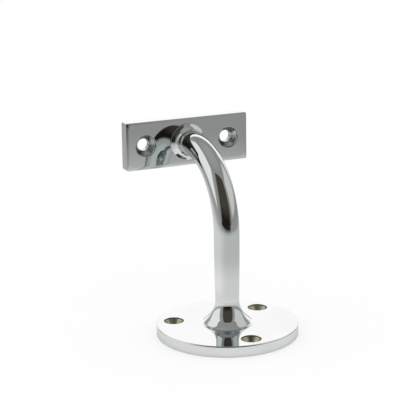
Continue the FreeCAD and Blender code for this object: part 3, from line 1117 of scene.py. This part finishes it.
# brightness of the tent's bare walls in a mirror, and the panels, each painted over the last
WALLS = 0.26
PANELS = (
    Panel(azimuth=153, half_width=35, elevation=(-30, 60), softness=(18, 16), brightness=1.0),
    Panel(azimuth=-122.5, half_width=32.5, elevation=(4, 80), softness=(14, 10), brightness=0.78),
    Panel(azimuth=70, half_width=32, elevation=(7, 80), softness=(12, 8), brightness=0.555),
    Panel(azimuth=-22, half_width=41.5, elevation=(-40, 120), softness=(8, 5), brightness=0.047),
    Panel(azimuth=-25, half_width=30, elevation=(-40, 14), softness=(14, 22), brightness=0.01),
)
WHITE = (1.0, 1.0, 1.0, 1.0)
# the colours of the tent's cloth, from dark to bright
SHADES = (
    (0.0, (0.0, 0.0, 0.0, 1.0)),
    (0.05, (0.054, 0.050, 0.042, 1.0)),
    (0.5, (0.484, 0.507, 0.5, 1.0)),
    (1.0, WHITE),
)
# painted shade in mirrors: the share of the light that each mirror after the first keeps, the cool tint
# painted on there, and the blue-grey glow painted on from the third mirror on
PAINTED_SHARE_KEPT_PER_MIRROR = 0.68
PAINTED_MIRROR_TINT = (0.935, 0.975, 1.0, 1.0)
PAINTED_DEEP_MIRROR_GLOW = (0.030, 0.045, 0.058, 1.0)


def mirrored_shade(brightness: Value) -> Socket:
    """Finds the colour of a lit place in a mirror, or in a mirror's mirror, with painted shade, tint and
    glow in the deeper mirrors.

    Args:
        brightness: How bright it is, where white is 1.

    Returns:
        Its colour.
    """
    graph = brightness.graph
    # painted shade: each mirror after the first dims the light and tints it cool, and from the third
    # mirror on a blue-grey glow is painted on
    mirrors = graph.ray("Glossy Depth") - 1
    kept = (PAINTED_SHARE_KEPT_PER_MIRROR ** mirrors).at_most(1.0)
    shade = graph.node("ShaderNodeValToRGB", {"stops": SHADES}, [brightness * kept]).outputs[0]
    second, third = mirrors.rise(0.0, 1.0), mirrors.rise(1.0, 2.0)
    shade = graph.blend(second, shade, PAINTED_MIRROR_TINT, "MULTIPLY")
    return graph.blend(third, shade, PAINTED_DEEP_MIRROR_GLOW, "ADD")


def sheet(name: str, low: Pair, high: Pair, height: float) -> tuple[bpy.types.Object, Graph]:
    """Makes a level sheet.

    Args:
        name: Its name, and its material's.
        low: Its front left corner, in millimetres to the right of and behind the middle.
        high: Its back right corner.
        height: Its height.

    Returns:
        The sheet, and the graph of its material.
    """
    (left, front), (right, back) = low, high
    corners = [(left, front), (right, front), (right, back), (left, back)]
    mesh = bpy.data.meshes.new(name)
    mesh.from_pydata([(x * MM, y * MM, height * MM) for x, y in corners], [], [(0, 1, 2, 3)])
    material = bpy.data.materials.new(name)
    mesh.materials.append(material)
    piece = bpy.data.objects.new(name, mesh)
    bpy.context.scene.collection.objects.link(piece)
    return piece, Graph(material)


@dataclass(frozen=True)
class Ceiling:
    """Grey roof of the tent, which only mirror surfaces see: a sheet that glows its grey, with a painted
    pool of light over the bracket.

    Args:
        low: Its front left corner, as for a sheet.
        high: Its back right corner.
        height: Its height above the floor.
        turn: How far the tent is turned to the left, in degrees.
        brightness: How bright it looks, where white is 1.
        glow: Painted pool of light over the bracket.
        painted_glow_middle: Where that is, as for a sheet's corner.
        painted_glow_fade: The distances over which it fades.
    """

    low: Pair = (-128.0, -66.0)
    high: Pair = (120.0, 204.0)
    height: float = 220.0
    turn: float = 24.24
    brightness: float = 0.235
    glow: float = 0.065
    painted_glow_middle: Pair = (-20.0, 40.0)
    painted_glow_fade: Pair = (30.0, 110.0)

    def build(self) -> None:
        """Hangs the roof."""
        roof, graph = sheet("ceiling", self.low, self.high, self.height)
        x, y, _ = graph.parts(graph.place())
        across, behind = x / MM - self.painted_glow_middle[0], y / MM - self.painted_glow_middle[1]
        distance = (across * across + behind * behind) ** 0.5
        cloth = graph.noise(graph.place(), scale=12.0) * 0.02 + self.brightness
        # painted pool of light over the bracket, on a roof that glows
        brightness = cloth + (1 - distance.rise(*self.painted_glow_fade)) * self.glow
        graph.close(graph.glow(mirrored_shade(brightness)))
        roof.rotation_euler.z = -math.radians(self.turn)
        roof.visible_camera = roof.visible_diffuse = roof.visible_shadow = False


@dataclass(frozen=True)
class Floor:
    """Pale floor which, as its mirror surfaces see it, darkens away from the bracket: a painted pool of
    light round the bracket and on the left, and painted shade in front.

    Distances are in millimetres from the bracket, directions in degrees to the right of the front.

    Args:
        size: Its width.
        drop: How far below the wall plate's back it lies.
        far: Painted brightness far off.
        rings: Painted pool of light near the bracket, in rings, with the distances over which each
            fades.
        left: Painted light on the left.
        painted_left_light_sides: Directions over which that fades.
        painted_left_light_near: Distances over which it comes in.
        painted_left_light_far: Distances over which it loses most of itself.
        front: Distances over which the floor in front fades into painted shade.
        painted_front_shade_sides: Directions between which it does.
        backlight: Share of light that comes up through the floor, which thins the shadow.
    """

    size: float = 6000.0
    drop: float = 0.02
    far: float = 0.27
    rings: tuple[tuple[float, Pair], ...] = (
        (0.20, (165.0, 370.0)),
        (0.15, (70.0, 120.0)),
        (0.21, (28.0, 58.0)),
    )
    left: float = 0.165
    painted_left_light_sides: Pair = (-110.0, -20.0)
    painted_left_light_near: Pair = (30.0, 75.0)
    painted_left_light_far: Pair = (100.0, 700.0)
    front: Pair = (150.0, 540.0)
    painted_front_shade_sides: Pair = (-66.0, 12.0)
    backlight: float = 0.65

    def mirrored(self, graph: Graph) -> Value:
        """Works out the painted light and shade that the floor shows in a mirror.

        Args:
            graph: The graph of its material.

        Returns:
            Its brightness, where white is 1.
        """
        x, y, _ = graph.parts(graph.place())
        east, ahead = x / MM, y / -MM
        distance = (east * east + ahead * ahead) ** 0.5
        aside = east.angle_from(ahead) * TO_DEGREES
        # painted light on the left, then painted rings of light round the bracket
        glow = (1 - aside.rise(*self.painted_left_light_sides)) * distance.rise(*self.painted_left_light_near) * self.left
        glow = glow * (1 - distance.rise(*self.painted_left_light_far) * 0.7) + self.far
        for extra, fade in self.rings:
            glow = glow + (1 - distance.rise(*fade)) * extra
        # painted shade on the floor in front
        dark = ahead.rise(*self.front) * aside.hump(*self.painted_front_shade_sides, edge=14.0)
        return glow * (1 - dark * 0.95)

    def build(self) -> None:
        """Lays the floor at the level of the wall plate's back."""
        half = self.size / 2
        floor, graph = sheet("floor", (-half, -half), (half, half), height=0.0)
        in_mirror = graph.ray("Is Glossy Ray")
        grain = graph.noise(graph.place(), scale=40.0, detail=3.0) * 0.01
        # in mirrors the floor's colour is the painted light and shade; otherwise it is paper with a
        # faint grain
        brightness = in_mirror * self.mirrored(graph) + (1 - in_mirror) * (1 - grain)
        colour = mirrored_shade(brightness)
        paper = graph.node("ShaderNodeBsdfDiffuse", None, {"Color": colour}).outputs[0]
        share = graph.ray("Is Camera Ray") * self.backlight
        graph.close(graph.mix(share, paper, graph.glow(WHITE)))
        floor.location.z = -self.drop * MM


def pitch_tent() -> None:
    """Puts up the white tent: panels of light round an open, dark front, over a pale floor."""
    world = bpy.data.worlds.new("tent")
    bpy.context.scene.world = world
    graph = Graph(world)
    brightness: Operand = WALLS
    for panel in PANELS:
        brightness = panel.paint(graph, brightness)
    # in mirrors of mirrors the tent's light carries the painted shade, tint and glow
    shades = (WHITE, mirrored_shade(brightness))
    seen, mirrored = (graph.glow(shade, "ShaderNodeBackground") for shade in shades)
    lit = graph.mix(graph.ray("Is Glossy Ray"), seen, mirrored)
    graph.close(lit, "ShaderNodeOutputWorld")
    Ceiling().build()
    Floor().build()


def main() -> None:
    """Builds the bracket and its studio, and reports each piece."""
    logging.basicConfig(level=logging.INFO, format="%(message)s")
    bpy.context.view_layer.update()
    bpy.context.scene.view_settings.view_transform = "Standard"
    Camera().place()
    pitch_tent()
    chrome, steel = CHROME.material(), SCREW_STEEL.material()
    bright, thin = BRIGHT_CUT.material(), THIN_PLATING.material()
    for assembly, cut in ((WallPlate, thin), (Arm, bright), (SaddlePlate, bright)):
        piece = assembly.from_frame().build([chrome, cut])
        log.info("%s: %d faces", piece.name, len(piece.data.polygons))
    for name in ("wall_plate_screw", "saddle_plate_screw"):
        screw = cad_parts[name]
        screw.data.materials.clear()
        screw.data.materials.append(steel)
        log.info("%s: %d faces", screw.name, len(screw.data.polygons))


if __name__ == "__main__":
    main()
